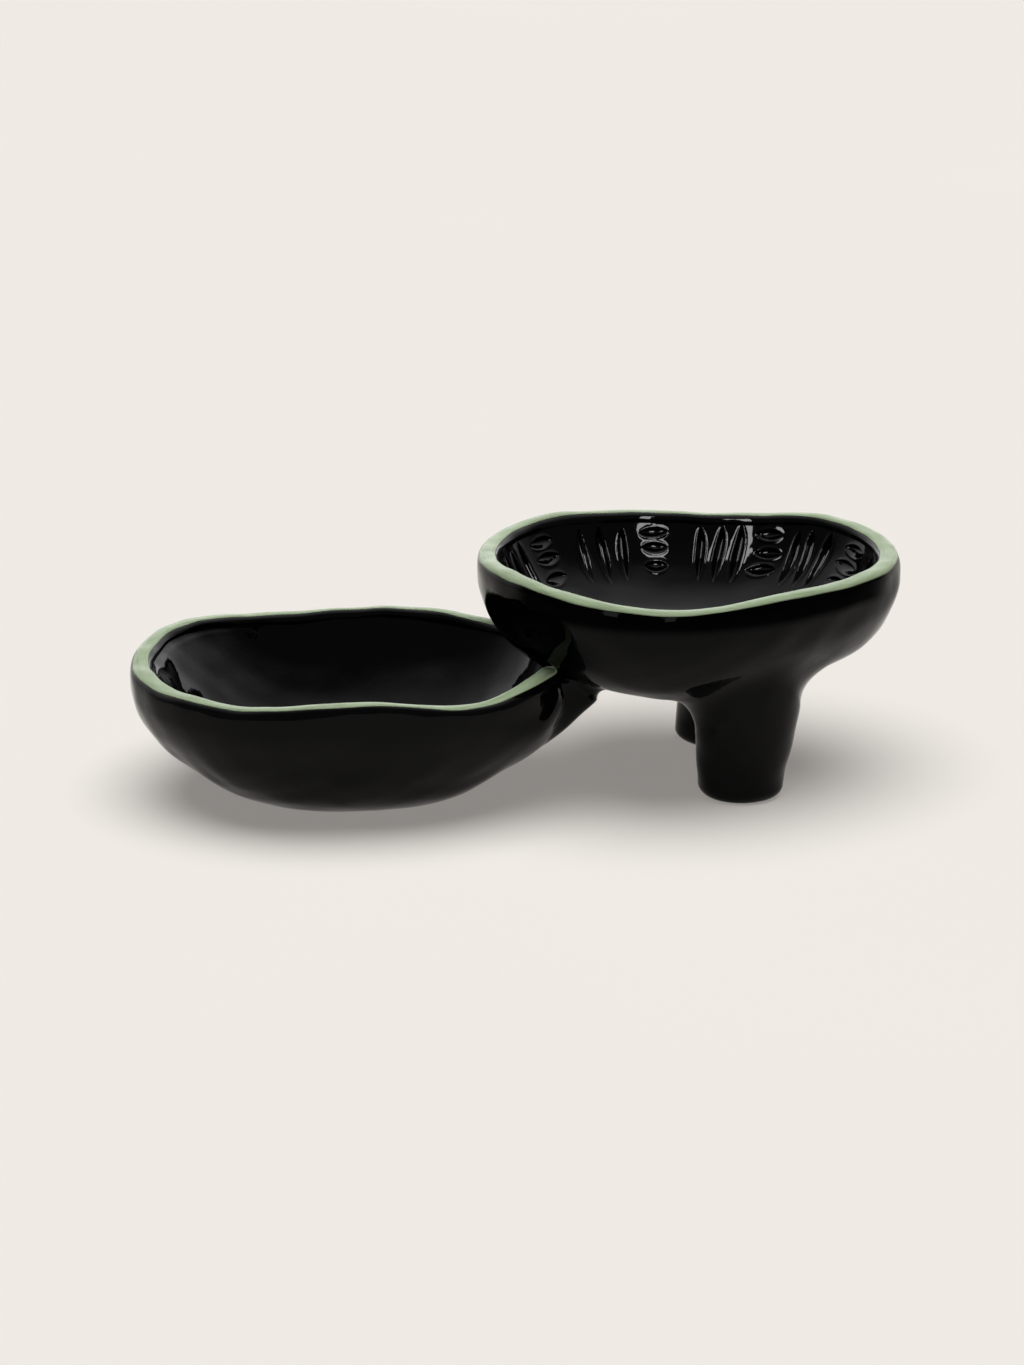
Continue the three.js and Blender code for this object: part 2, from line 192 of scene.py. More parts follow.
# A bowl's waves are how many go round, their height and where one peaks
lower = Bowl(
    -BOWL_SPACING / 2, -BOWL_OFFSET / 2, length=64.8, width=52.3, turn=-8,
    rim=42.7, bottom=0, foot=24, belly=1.65, lobe=1.5, lobe_turn=-12,
    waves=[(2, 0.5, 6), (3, 0.9, 28), (4, 1, -16), (5, 0.6, -14)],
)
upper = Bowl(
    BOWL_SPACING / 2, BOWL_OFFSET / 2, length=62.3, width=53.6, turn=-0.5,
    rim=70.7, bottom=34.6, foot=30, belly=1.85, lobe=2.5, lobe_turn=7,
    waves=[(1, 0.5, 80), (2, 0.9, 3), (4, 0.7, 31)],
)

# The unevenness that hands leave in the clay. At the table it moves nothing up or down, so feet stay flat.
LUMP_COUNT = 40
MARK_COUNT = 60
FOOT_RISE = 12  # height above which it is full


def make_lumps(seed, count, shortest, longest, amount):
    """A smooth field of small shifts, the same for every piece, as a hand leaves in clay."""
    rng = np.random.RandomState(seed)
    waves = []
    for _ in range(count):
        direction = rng.normal(size=3)
        direction /= np.linalg.norm(direction)
        wavelength = rng.uniform(shortest, longest)
        phase = rng.uniform(0, 2 * math.pi)
        towards = rng.normal(size=3)
        waves.append((direction * 2 * math.pi / wavelength, phase, towards))
    scale = amount * math.sqrt(2 / count)

    def shift(points):
        moved = np.zeros_like(points)
        for wave, phase, towards in waves:
            moved += np.sin(points @ wave + phase)[:, None] * towards
        moved *= scale
        moved[:, 2] *= smooth(points[:, 2] / FOOT_RISE)
        return points + moved

    return shift


lumps = make_lumps(LUMP_SEED, LUMP_COUNT, shortest=30, longest=80, amount=0.4)
finger_marks = make_lumps(MARK_SEED, MARK_COUNT, shortest=9, longest=22, amount=0.11)


def make_piece(name, points, faces, material, uv=None):
    """A closed, smooth mesh from points in millimetres."""
    mesh = bpy.data.meshes.new(name)
    mesh.from_pydata((finger_marks(lumps(np.asarray(points))) * MM).tolist(), [], faces)
    shell = bmesh.new()
    shell.from_mesh(mesh)
    bmesh.ops.recalc_face_normals(shell, faces=shell.faces)
    shell.to_mesh(mesh)
    shell.free()
    mesh.polygons.foreach_set("use_smooth", [True] * len(mesh.polygons))
    if uv is not None:
        layer = mesh.uv_layers.new(name="rim")
        corner = np.zeros(len(mesh.loops), np.int32)
        mesh.loops.foreach_get("vertex_index", corner)
        layer.data.foreach_set("uv", np.asarray(uv, np.float32)[corner].ravel())
    mesh.validate()
    mesh.update()
    piece = bpy.data.objects.new(name, mesh)
    bpy.context.scene.collection.objects.link(piece)
    piece.data.materials.append(material)
    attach(piece, "root")
    return piece


def skin(rings, first_tip, last_tip):
    """Joins closed rings of points, and a tip at each end, into one closed mesh.

    Where one ring has a whole multiple of the next one's points, each wide face takes in the finer ring's
    points.
    """
    points = np.concatenate(rings)
    starts = np.cumsum([0] + [len(r) for r in rings])
    faces = []
    for k in range(len(rings) - 1):
        a, b, m, n = int(starts[k]), int(starts[k + 1]), len(rings[k]), len(rings[k + 1])
        few = min(m, n)
        up, down = m // few, n // few
        for j in range(few):
            near = [a + (j * up + i) % m for i in range(up + 1)]
            far = [b + (j * down + i) % n for i in range(down + 1)]
            faces.append(near + far[::-1])
    for tip, ring, start in ((first_tip, rings[0], 0), (last_tip, rings[-1], int(starts[-2]))):
        centre = len(points)
        points = np.concatenate([points, [tip]])
        m = len(ring)
        for j in range(m):
            edge = [start + j, start + (j + 1) % m]
            faces.append([centre] + (edge[::-1] if start == 0 else edge))
    return points, faces


def tube(sections, closed):
    """Joins closed sections into a ring, or into a rod with flat ends."""
    count, around = sections.shape[:2]
    faces = []
    for k in range(count if closed else count - 1):
        a, b = k * around, (k + 1) % count * around
        for j in range(around):
            i = (j + 1) % around
            faces.append([a + j, a + i, b + i, b + j])
    if not closed:
        faces.append(list(range(around)))
        faces.append([(count - 1) * around + j for j in range(around)][::-1])
    return sections.reshape(-1, 3), faces


ROOF_BITE = 1.5
ROOF_SOFTNESS = 0.4


def under_roof(points):
    """Keeps the low bowl's pieces out of the raised bowl: they end a little inside its clay."""
    roof = upper.underside(points[:, 0], points[:, 1]) + ROOF_BITE
    kept = points.copy()
    kept[:, 2] = -ROOF_SOFTNESS * np.logaddexp(-points[:, 2] / ROOF_SOFTNESS, -roof / ROOF_SOFTNESS)
    return kept


# Materials: tints along a noise, and the least and greatest roughness. A mirror value is a specular level.

BLACK_TINTS = [(0.3, (0.0006, 0.0006, 0.0008)), (0.7, (0.0016, 0.0016, 0.0018))]
BLACK_ROUGHNESS = (0.03, 0.07)
BLACK_MIRROR = 0.088
BLACK_RIPPLE = 0.1
GREEN_STRETCH = (90, 3.5, 1)
GREEN_TINTS = [
    (0.25, (0.195, 0.255, 0.145)), (0.42, (0.28, 0.355, 0.215)),
    (0.6, (0.315, 0.395, 0.25)), (0.8, (0.37, 0.45, 0.305)),
]
GREEN_EDGES = [(0.0, (0.25, 0.25, 0.25)), (0.07, (1, 1, 1)), (0.93, (1, 1, 1)), (1.0, (0.3, 0.3, 0.3))]
GREEN_ROUGHNESS = (0.12, 0.26)
GREEN_MIRROR = 0.035
GREEN_RIPPLE = 0.15
FLOOR_TINTS = [(0.3, (0.86, 0.82, 0.772)), (0.7, (0.87, 0.83, 0.782))]
FLOOR_ROUGHNESS = 0.9
NOISE_LOW = 0.3
NOISE_HIGH = 0.7

# The raised bowl's front lip, where the black mirrors less, from where that starts to where it is full
DULL_MIRROR = 0.004
DULL_FACING = (-0.2, -0.5)
DULL_FRONT = (-20 * MM, -32 * MM)
DULL_HEIGHT = (61 * MM, 64.5 * MM)

# The colour sockets of a Mix node share their names with its other sockets, so they are known by number
MIX_FIRST = 6
MIX_SECOND = 7
MIX_RESULT = 2


def new_material(name):
    material = bpy.data.materials.new(name)
    material.use_nodes = True
    nodes, links = material.node_tree.nodes, material.node_tree.links
    return material, nodes, links, nodes["Principled BSDF"]


def noise(nodes, links, vector, scale, detail):
    node = nodes.new("ShaderNodeTexNoise")
    node.inputs["Scale"].default_value = scale
    node.inputs["Detail"].default_value = detail
    links.new(vector, node.inputs["Vector"])
    return node.outputs["Fac"]


def ramp(nodes, links, fac, stops):
    node = nodes.new("ShaderNodeValToRGB")
    elements = node.color_ramp.elements
    while len(elements) < len(stops):
        elements.new(0.5)
    for element, (position, colour) in zip(elements, stops):
        element.position = position
        element.color = (*colour, 1)
    links.new(fac, node.inputs["Fac"])
    return node.outputs["Color"]


def spread(nodes, links, fac, low, high):
    node = nodes.new("ShaderNodeMapRange")
    node.inputs["From Min"].default_value = NOISE_LOW
    node.inputs["From Max"].default_value = NOISE_HIGH
    node.inputs["To Min"].default_value = low
    node.inputs["To Max"].default_value = high
    links.new(fac, node.inputs["Value"])
    return node.outputs["Result"]


def bump(nodes, links, height, distance, shader):
    node = nodes.new("ShaderNodeBump")
    node.inputs["Strength"].default_value = 1
    node.inputs["Distance"].default_value = distance * MM
    links.new(height, node.inputs["Height"])
    links.new(node.outputs["Normal"], shader.inputs["Normal"])


def dull_lip(nodes, links, place):
    """The outside's lip at the front, where the black runs thin under the green and mirrors little."""
    apart = nodes.new("ShaderNodeSeparateXYZ")
    links.new(place, apart.inputs["Vector"])
    facing = nodes.new("ShaderNodeSeparateXYZ")
    links.new(nodes.new("ShaderNodeNewGeometry").outputs["Normal"], facing.inputs["Vector"])
    limits = (
        (facing.outputs["Y"], DULL_FACING),
        (apart.outputs["Y"], DULL_FRONT),
        (apart.outputs["Z"], DULL_HEIGHT),
    )
    share = None
    for value, (start, end) in limits:
        fade = nodes.new("ShaderNodeMapRange")
        fade.interpolation_type = "SMOOTHSTEP"
        fade.inputs["From Min"].default_value = start
        fade.inputs["From Max"].default_value = end
        links.new(value, fade.inputs["Value"])
        # Each fade rises to the one before it, so that the three are multiplied
        if share is not None:
            links.new(share, fade.inputs["To Max"])
        share = fade.outputs["Result"]
    return share


def black_glaze():
    material, nodes, links, shader = new_material("black_glaze")
    place = nodes.new("ShaderNodeTexCoord").outputs["Object"]
    cloud = noise(nodes, links, place, scale=55, detail=4)
    links.new(ramp(nodes, links, cloud, BLACK_TINTS), shader.inputs["Base Color"])
    links.new(spread(nodes, links, cloud, *BLACK_ROUGHNESS), shader.inputs["Roughness"])
    mirror = nodes.new("ShaderNodeMix")
    links.new(dull_lip(nodes, links, place), mirror.inputs["Factor"])
    mirror.inputs["A"].default_value = BLACK_MIRROR
    mirror.inputs["B"].default_value = DULL_MIRROR
    links.new(mirror.outputs["Result"], shader.inputs["Specular IOR Level"])
    ripple = noise(nodes, links, place, scale=170, detail=2)
    bump(nodes, links, ripple, BLACK_RIPPLE, shader)
    return material


def green_glaze():
    """Streaks along the band, which is thin and dark at its two edges."""
    material, nodes, links, shader = new_material("green_glaze")
    uv = nodes.new("ShaderNodeUVMap")
    uv.uv_map = "rim"
    stretch = nodes.new("ShaderNodeMapping")
    stretch.inputs["Scale"].default_value = GREEN_STRETCH
    links.new(uv.outputs["UV"], stretch.inputs["Vector"])
    streaks = noise(nodes, links, stretch.outputs["Vector"], scale=1, detail=5)
    apart = nodes.new("ShaderNodeSeparateXYZ")
    links.new(uv.outputs["UV"], apart.inputs["Vector"])
    thin = nodes.new("ShaderNodeMix")
    thin.data_type = "RGBA"
    thin.blend_type = "MULTIPLY"
    thin.inputs["Factor"].default_value = 1
    links.new(ramp(nodes, links, streaks, GREEN_TINTS), thin.inputs[MIX_FIRST])
    links.new(ramp(nodes, links, apart.outputs["Y"], GREEN_EDGES), thin.inputs[MIX_SECOND])
    links.new(thin.outputs[MIX_RESULT], shader.inputs["Base Color"])
    links.new(spread(nodes, links, streaks, *GREEN_ROUGHNESS), shader.inputs["Roughness"])
    shader.inputs["Specular IOR Level"].default_value = GREEN_MIRROR
    place = nodes.new("ShaderNodeTexCoord").outputs["Object"]
    ripple = noise(nodes, links, place, scale=420, detail=3)
    bump(nodes, links, ripple, GREEN_RIPPLE, shader)
    return material


def floor_material():
    material, nodes, links, shader = new_material("pale_floor")
    place = nodes.new("ShaderNodeTexCoord").outputs["Object"]
    cloud = noise(nodes, links, place, scale=3, detail=2)
    links.new(ramp(nodes, links, cloud, FLOOR_TINTS), shader.inputs["Base Color"])
    shader.inputs["Roughness"].default_value = FLOOR_ROUGHNESS
    shader.inputs["Specular IOR Level"].default_value = 0
    return material


BLACK = black_glaze()
GREEN = green_glaze()

# The two bowls

WALL_ROWS = 50
RIM_ROWS = 30
FLOOR_RINGS = (0.3, 0.65)  # shares of the foot's radius
MIDDLE = 3  # how near the middle the inside's rows end
PROFILE_SKIP = 3  # points of the profile before the first row


def bowl_rings(bowl, count, inner_rows):
    """Rings from the underside's middle over the rim to the inside's middle, with the given rows inside."""
    theta = angles(count)
    level = np.full(count, float(bowl.bottom))
    rings = [bowl.place(bowl.foot * share, theta, level) for share in FLOOR_RINGS]
    for share in even(0, 1, WALL_ROWS):
        r, z = bowl.outer_wall(share)
        rings.append(bowl.place(r, theta, np.full(count, z)))
    for turn in even(0, 1, RIM_ROWS)[1:]:
        r, z = bowl.rim_point(np.array(turn))
        rings.append(bowl.place(r, theta, np.full(count, float(z))))
    return rings + inner_rows


def bowl_tips(bowl, profile):
    return np.array([bowl.x, bowl.y, bowl.bottom]), np.array([bowl.x, bowl.y, profile[-1, 1]])


def rows_down(profile, start, count):
    """Evenly spaced rows of the inside's profile, from one of its points to near the middle."""
    return profile[np.linspace(start, len(profile) - round(MIDDLE / PROFILE_STEP), count).astype(int)]


# The low bowl, whose inside comes in further at the left, by a share of its radius and over a depth
LOW_COUNT = 288
LOW_INNER_ROWS = 70
LEFT_SLOPE = 0.036  # share of the radius
LEFT_DEPTH = 7  # depth over which it comes in
LEFT_START = 0.45  # how far to the left it starts, where 1 is the left end
LEFT_FADE = 0.5  # over which it grows from there
low_theta = angles(LOW_COUNT)
leftward = smooth((-np.cos(low_theta) - LEFT_START) / LEFT_FADE)
low_profile = lower.inside()
low_inner = []
for r, z in rows_down(low_profile, PROFILE_SKIP, LOW_INNER_ROWS):
    slope = LEFT_SLOPE * (1 - math.exp((z - lower.rim) / LEFT_DEPTH)) * leftward
    low_inner.append(lower.place(r * (1 - slope), low_theta, np.full(LOW_COUNT, z)))
low_points, low_faces = skin(bowl_rings(lower, LOW_COUNT, low_inner), *bowl_tips(lower, low_profile))
low_clay = make_piece("lower_bowl_clay", under_roof(low_points), low_faces, BLACK)
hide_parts("lower_bowl")

# The pressed pattern inside the raised bowl: three standing grooves and three lying ones, in turn.
# A kind of groove has its size, and how far a hand strays from its direction, height, length and tilt.
GrooveKind = namedtuple(
    "GrooveKind", "standing half_length half_width depth turn drop shortest longest tilt",
)
Groove = namedtuple("Groove", "kind centre below half_length tilt")
STANDING = GrooveKind(
    standing=True, half_length=8.3, half_width=1.85, depth=1.9,
    turn=0.5, drop=0.5, shortest=0.93, longest=1.05, tilt=0.06,
)
LYING = GrooveKind(
    standing=False, half_length=4.9, half_width=1.75, depth=1.5,
    turn=0.6, drop=0.25, shortest=0.9, longest=1.08, tilt=0.05,
)
# Each standing group's direction and the step between its grooves, and each lying group's direction
STANDING_GROUPS = [
    (111.7, 7.6), (64.7, 7.5), (30.6, 5.6), (-8, 7), (-48, 7), (-88, 7), (-128, 7), (-168, 7), (153, 6.5),
]
LYING_GROUPS = [135, 91, 46.5, 12.5, -28, -68, -108, -148, 172]
STANDING_BELOW = 12.2
LYING_BELOW = (5.9, 11.1, 16.3)
LEAF_POWER = 0.7  # of a groove's pointed outline
HOLLOW_POWER = 1.1  # of its rounded section
RIDGE_HEIGHT = 0.3
RIDGE_WIDTH = 0.6
WALL_RADIUS = 53  # turns directions into lengths along the wall
NARROWEST = 1e-6  # keeps a groove's pointed ends from dividing by nothing


def press(rng, kind, middle, below):
    """One groove, a little off its place, length and direction, as a hand leaves it."""
    centre = math.radians(middle + rng.uniform(-kind.turn, kind.turn))
    pressed_below = below + rng.uniform(-kind.drop, kind.drop)
    half_length = kind.half_length * rng.uniform(kind.shortest, kind.longest)
    return Groove(kind, centre, pressed_below, half_length, rng.uniform(-kind.tilt, kind.tilt))


def make_grooves():
    rng = np.random.RandomState(GROOVE_SEED)
    grooves = []
    for middle, step in STANDING_GROUPS:
        for k in (-1, 0, 1):
            grooves.append(press(rng, STANDING, middle + k * step, STANDING_BELOW))
    for middle in LYING_GROUPS:
        for below in LYING_BELOW:
            grooves.append(press(rng, LYING, middle, below))
    return grooves


def groove_depth(theta, below, grooves):
    """Depth of the pressed pattern along one row: hollows, each with a fine ridge of pushed-up clay."""
    deepest = np.zeros_like(theta)
    ridge = np.zeros_like(theta)
    for groove in grooves:
        round_wall = ((theta - groove.centre + math.pi) % (2 * math.pi) - math.pi) * WALL_RADIUS
        down = np.full_like(theta, below - groove.below)
        along, across = (down, round_wall) if groove.kind.standing else (round_wall, down)
        across = across - groove.tilt * along
        leaf = np.clip(1 - (along / groove.half_length) ** 2, 0, 1) ** LEAF_POWER
        width = groove.kind.half_width * leaf
        hollow = np.clip(1 - (across / np.maximum(width, NARROWEST)) ** 2, 0, 1) ** HOLLOW_POWER
        deepest = np.maximum(deepest, groove.kind.depth * hollow * np.sqrt(leaf))
        from_edge = (np.abs(across) - width) / RIDGE_WIDTH
        ridge = np.maximum(ridge, RIDGE_HEIGHT * np.exp(-from_edge ** 2) * np.sqrt(leaf))
    return deepest - ridge


# The raised bowl, with finer rows and more points where the pattern is
HIGH_COUNT = 320
FINE = 3  # times the other rows' points
FINE_ROWS = 62
FINE_TOP = 3.2  # below the rim
FINE_BOTTOM = 21  # below the rim
HIGH_INNER_ROWS = 40
high_theta = angles(HIGH_COUNT)
fine_theta = angles(HIGH_COUNT * FINE)
groove_list = make_grooves()
high_profile = upper.inside()
high_inner = []
for below in even(FINE_TOP, FINE_BOTTOM, FINE_ROWS):
    fine_z = upper.rim - below
    fine_r = np.interp(-fine_z, -high_profile[:, 1], high_profile[:, 0])
    pressed = fine_r + groove_depth(fine_theta, below, groove_list)
    high_inner.append(upper.place(pressed, fine_theta, np.full(HIGH_COUNT * FINE, fine_z)))
lowest = np.searchsorted(-high_profile[:, 1], FINE_BOTTOM - upper.rim) + PROFILE_SKIP
for r, z in rows_down(high_profile, lowest, HIGH_INNER_ROWS):
    high_inner.append(upper.place(r, high_theta, np.full(HIGH_COUNT, z)))
high_points, high_faces = skin(bowl_rings(upper, HIGH_COUNT, high_inner), *bowl_tips(upper, high_profile))
high_clay = make_piece("upper_bowl_clay", high_points, high_faces, BLACK)
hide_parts("upper_bowl")

# The green bands on the rims: how far each reaches down the outside and the inside, and its thickness

BAND_COUNT = 480
BAND_ACROSS = 18
BAND_PROUD = 0.16  # above the clay
BAND_DEEP = 0.7  # into the clay
BAND_EDGE_POWER = 0.35  # of its rounded edges, where less is squarer
BAND_OUTSIDE = {"low": 0.38, "high": 1.0}
BAND_OUTSIDE_LIMITS = (0.25, 6.9)
BAND_SIDES_OUT = 0.3  # more at the left and right sides of a bowl
BAND_INSIDE = 0.12
BAND_INSIDE_LIMITS = (0.04, 2.6)
BAND_SIDES_IN = 0.4  # more at the left and right sides of a bowl
BAND_UNEVEN = 0.08
BAND_WAVES = range(3, 15)


def ring_noise(rng):
    """A smooth random wave round a rim, about one high."""
    terms = [(n, rng.normal(), rng.uniform(0, 2 * math.pi)) for n in BAND_WAVES]
    scale = 1 / math.sqrt(sum(a * a for _, a, _ in terms) / 2)

    def value(angle):
        return scale * sum(a * np.cos(n * angle + p) for n, a, p in terms)

    return value


def rim_turn(drop, full, power):
    """How far round the rim's curve a drop below its top lies, as rim_point's turn."""
    return np.arcsin(np.clip(1 - drop / full, 0, 1) ** (power / 2)) / math.pi


def band_sections(bowl, outside, theta, rng, ends):
    """Closed sections of a thin band over the rim. ends is 1 along the band and near 0 at a painted end."""
    sideways = np.cos(theta) ** 2
    outside = outside + BAND_SIDES_OUT * sideways + BAND_UNEVEN * ring_noise(rng)(theta)
    inside = BAND_INSIDE + BAND_SIDES_IN * sideways + BAND_UNEVEN / 2 * ring_noise(rng)(theta)
    first = rim_turn(np.clip(outside, *BAND_OUTSIDE_LIMITS), LIP_DROP, LIP_POWER)
    last = 1 - rim_turn(np.clip(inside, *BAND_INSIDE_LIMITS), WALL / 2, RIM_POWER)
    middle = (first + last) / 2
    first = lerp(middle, first, ends)
    last = lerp(middle, last, ends)
    across = even(0, 1, BAND_ACROSS)
    turn = lerp(first[:, None], last[:, None], across)
    proud = BAND_PROUD * np.clip(np.sin(math.pi * across), 0, 1) ** BAND_EDGE_POWER
    top_r, top_z = bowl.rim_point(turn, proud)
    deep_r, deep_z = bowl.rim_point(turn[:, ::-1], -BAND_DEEP)
    r = np.concatenate([top_r, deep_r], 1)
    z = np.concatenate([top_z, deep_z], 1)
    v = np.broadcast_to(np.concatenate([across, across[::-1]]), r.shape)
    u = np.broadcast_to((theta * bowl.mean * MM)[:, None], r.shape)
    return bowl.place(r, theta[:, None], z), np.stack([u, v], -1)


band_rng = np.random.RandomState(BAND_SEED)
whole = np.ones(BAND_COUNT)
band_points, band_uv = band_sections(upper, BAND_OUTSIDE["high"], angles(BAND_COUNT), band_rng, whole)
high_band = make_piece("upper_rim_band", *tube(band_points, True), GREEN, uv=band_uv.reshape(-1, 2))
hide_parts("upper_rim_glaze")

# The low band is painted up to the raised bowl: it starts with a round end where the front rim comes clear
# of that bowl, and runs into the joint at the back
BAND_END = 2.4  # length of the round end
BAND_TIP = 0.02  # least share of that length, so that the end keeps some width
BAND_CLEARANCE = 0.6
FRONT_TURN = -70  # where the search for the clear rim starts
FRONT_STEPS = 400
BACK_TURN = -334  # where the band ends in the joint
front_theta = np.radians(even(FRONT_TURN, 0, FRONT_STEPS))
front_rim = lower.place(lower.mean, front_theta, np.full(FRONT_STEPS, lower.rim))
clear = front_rim[:, 2] < upper.underside(front_rim[:, 0], front_rim[:, 1]) - BAND_CLEARANCE
band_start = front_theta[clear].max()
low_band_theta = even(band_start, math.radians(BACK_TURN), BAND_COUNT)
from_end = np.clip((band_start - low_band_theta) * lower.mean / BAND_END, BAND_TIP, 1)
rounded = np.sqrt(np.clip(1 - (1 - from_end) ** 2, 0, 1))
band_points, band_uv = band_sections(lower, BAND_OUTSIDE["low"], low_band_theta, band_rng, rounded)
band_points = under_roof(band_points.reshape(-1, 3)).reshape(band_points.shape)
low_band = make_piece("lower_rim_band", *tube(band_points, False), GREEN, uv=band_uv.reshape(-1, 2))
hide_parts("lower_rim_glaze")

# The two legs, with their tops smoothed into the raised bowl by a flare

LEG_COUNT = 160
FOOT_ROWS = 12
SIDE_ROWS = 18
FLARE_ROWS = 28
FLARE_RADIUS = (14, 21)  # of the smoothed corner, at its inward and its outward side
FLARE_TURN = 40  # of the outward side, from +X
UNDER_STEPS = ((0.8, 0.06), (1.8, 0.3), (3, 0.9))  # rows that end in the bowl's clay: how far out and up
LEG_ROOT = 2.5  # how far the top reaches into the bowl
FOOT_SHIFT = 0.8  # how far left of the solids' axes the feet stand
FRONT_LEG_LEAN = 1.6  # of the top, to the right of the foot
REAR_LEG_LEAN = 4.6
FRONT_LEG_WAIST = -1  # how far the side is drawn in, and a negative one swells
REAR_LEG_WAIST = 1.5
WAIST_RISE = 20  # height over which the waist grows above the foot
ROOF_STEPS = 240
ROOF_REACH = 60.0  # how far from a leg's axis the bowl above is measured
BALL_STEPS = 24  # halvings of the ball's height


def roll_ball(ball, side, roof):
    """Rolls a ball into the corner between a leg's side and the bowl above, in each direction round the leg.

    Gives the distance of the ball's middle from the leg's axis, its height, and the distance where the ball
    touches the bowl.
    """
    roof_rho = even(0, ROOF_REACH, ROOF_STEPS)
    roof_z = np.array([roof(rho) for rho in roof_rho])

    def apart(height):
        return np.hypot(roof_rho[:, None] - (side(height) + ball), roof_z - height)

    low = np.full(LEG_COUNT, -ROOF_REACH)
    high = np.full(LEG_COUNT, upper.rim)
    for _ in range(BALL_STEPS):
        middle = (low + high) / 2
        fits = (apart(middle).min(0) > ball) & (middle < upper.rim - ball / 2)
        low = np.where(fits, middle, low)
        high = np.where(fits, high, middle)
    return side(low) + ball, low, roof_rho[apart(low).argmin(0)]


def make_leg(name, foot_x, axis_y, lean, waist, outward, nodes):
    """A leg under the raised bowl. Its top leans away from the low bowl, and the waist shapes its side."""
    phi = angles(LEG_COUNT)
    axis_x = foot_x + lean

    def roof(rho):
        return upper.underside(axis_x + rho * np.cos(phi), axis_y + rho * np.sin(phi))

    def ring(rho, z):
        rho, z = np.broadcast_to(rho, phi.shape), np.broadcast_to(z, phi.shape)
        middle = axis_x - lean * smooth(1 - z / upper.bottom)
        return np.stack([middle + rho * np.cos(phi), axis_y + rho * np.sin(phi), z], -1)

    def side(z):
        drawn_in = waist * smooth((z - LEG_FOOT_ROUND) / WAIST_RISE)
        return lerp(LEG_FOOT_RADIUS, LEG_TOP_RADIUS, z / upper.bottom) - drawn_in

    ball = lerp(*FLARE_RADIUS, smooth((1 + np.cos(phi - outward)) / 2))
    centre_rho, centre_z, end_rho = roll_ball(ball, side, roof)
    end_turn = np.arctan2(roof(end_rho) - centre_z, end_rho - centre_rho)

    flat = side(LEG_FOOT_ROUND) - LEG_FOOT_ROUND
    rings = [ring(flat / 2, 0.0)]
    for turn in even(0, math.pi / 2, FOOT_ROWS):
        rings.append(ring(flat + LEG_FOOT_ROUND * math.sin(turn), LEG_FOOT_ROUND * (1 - math.cos(turn))))
    for t in even(0, 1, SIDE_ROWS)[1:]:
        z = lerp(LEG_FOOT_ROUND, centre_z, t)
        rings.append(ring(side(z), z))
    for t in even(0, 1, FLARE_ROWS)[1:]:
        turn = lerp(math.pi, end_turn, t)
        rings.append(ring(centre_rho + ball * np.cos(turn), centre_z + ball * np.sin(turn)))
    for out, rise in UNDER_STEPS:
        rings.append(ring(end_rho + out, roof(end_rho + out) + rise))
    rings.append(ring(LEG_TOP_RADIUS / 2, roof(LEG_TOP_RADIUS / 2) + LEG_ROOT))
    top = float(upper.underside(np.array(axis_x), np.array(axis_y))) + LEG_ROOT
    points, faces = skin(rings, np.array([foot_x, axis_y, 0.0]), np.array([axis_x, axis_y, top]))
    leg = make_piece(name, points, faces, BLACK)
    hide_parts(*nodes)


front_x, front_y = upper.x + FRONT_LEG_X - FOOT_SHIFT, upper.y - LEG_SPACING / 2
rear_x, rear_y = upper.x + REAR_LEG_X - FOOT_SHIFT, upper.y + LEG_SPACING / 2
make_leg(
    "front_leg_clay", front_x, front_y, FRONT_LEG_LEAN, FRONT_LEG_WAIST, math.radians(-FLARE_TURN),
    ["front_leg", "front_leg_coil"],
)
make_leg(
    "rear_leg_clay", rear_x, rear_y, REAR_LEG_LEAN, REAR_LEG_WAIST, math.radians(FLARE_TURN),
    ["rear_leg", "rear_leg_coil"],
)

# The web of clay under the joint. Its ends fade out over angles round the low bowl's axis.

WEB_COUNT = 121
WEB_ROWS = 40
WEB_CORNER_ROWS = 16
WEB_SPREAD = 38  # half of the web's angle
WEB_FADE = 26  # over which its start on the wall rises to the crease
WEB_NEAR = 25  # half of the angle in which it reaches out
WEB_NEAR_FADE = 10  # over which that reach fades
WEB_ENDS = 0.99  # share of its angle where the last sections lie
WEB_SINK = 1.2  # how far its ends sink in behind the crease
WEB_LOW = 11  # height at which it leaves the low bowl's wall
WEB_ON_LIP = 1.2  # how far above the widest line the crease may lie
WEB_REACH = 6.6  # from the low bowl's widest line to where it meets the raised bowl
WEB_SHELF = 3  # above the crease, where the raised bowl is out of reach
WEB_UPRIGHT = 6.5  # from its upper end down to where its side turns upright
WEB_CORNER = 7  # size of its rounded corner under the raised bowl
WEB_BEND = 0.7  # share of that size at which the corner starts
WEB_ROUNDNESS = 0.6  # of that corner
WEB_START = 0.45  # share of the way on which it follows the wall
WEB_TOUCH = 2  # how high over the shelf the raised bowl is when the web lets go of it
WEB_TOUCH_FADE = 3  # height over which it lets go
WEB_UNDER = ((3.5, 0.8), (1.8, 0.22), (0.8, 0.04))  # rows that end in the clay: how far along and in
WEB_ROOT = 1.5  # how far its back reaches into the clay
SEARCH_START = 2
SEARCH_STEPS = 300
TANGENT_STEP = 0.2


def bezier(points, t):
    """A cubic curve through control points, at the share t."""
    a, b, c, d = points
    return a * (1 - t) ** 3 + b * 3 * t * (1 - t) ** 2 + c * 3 * t * t * (1 - t) + d * t ** 3


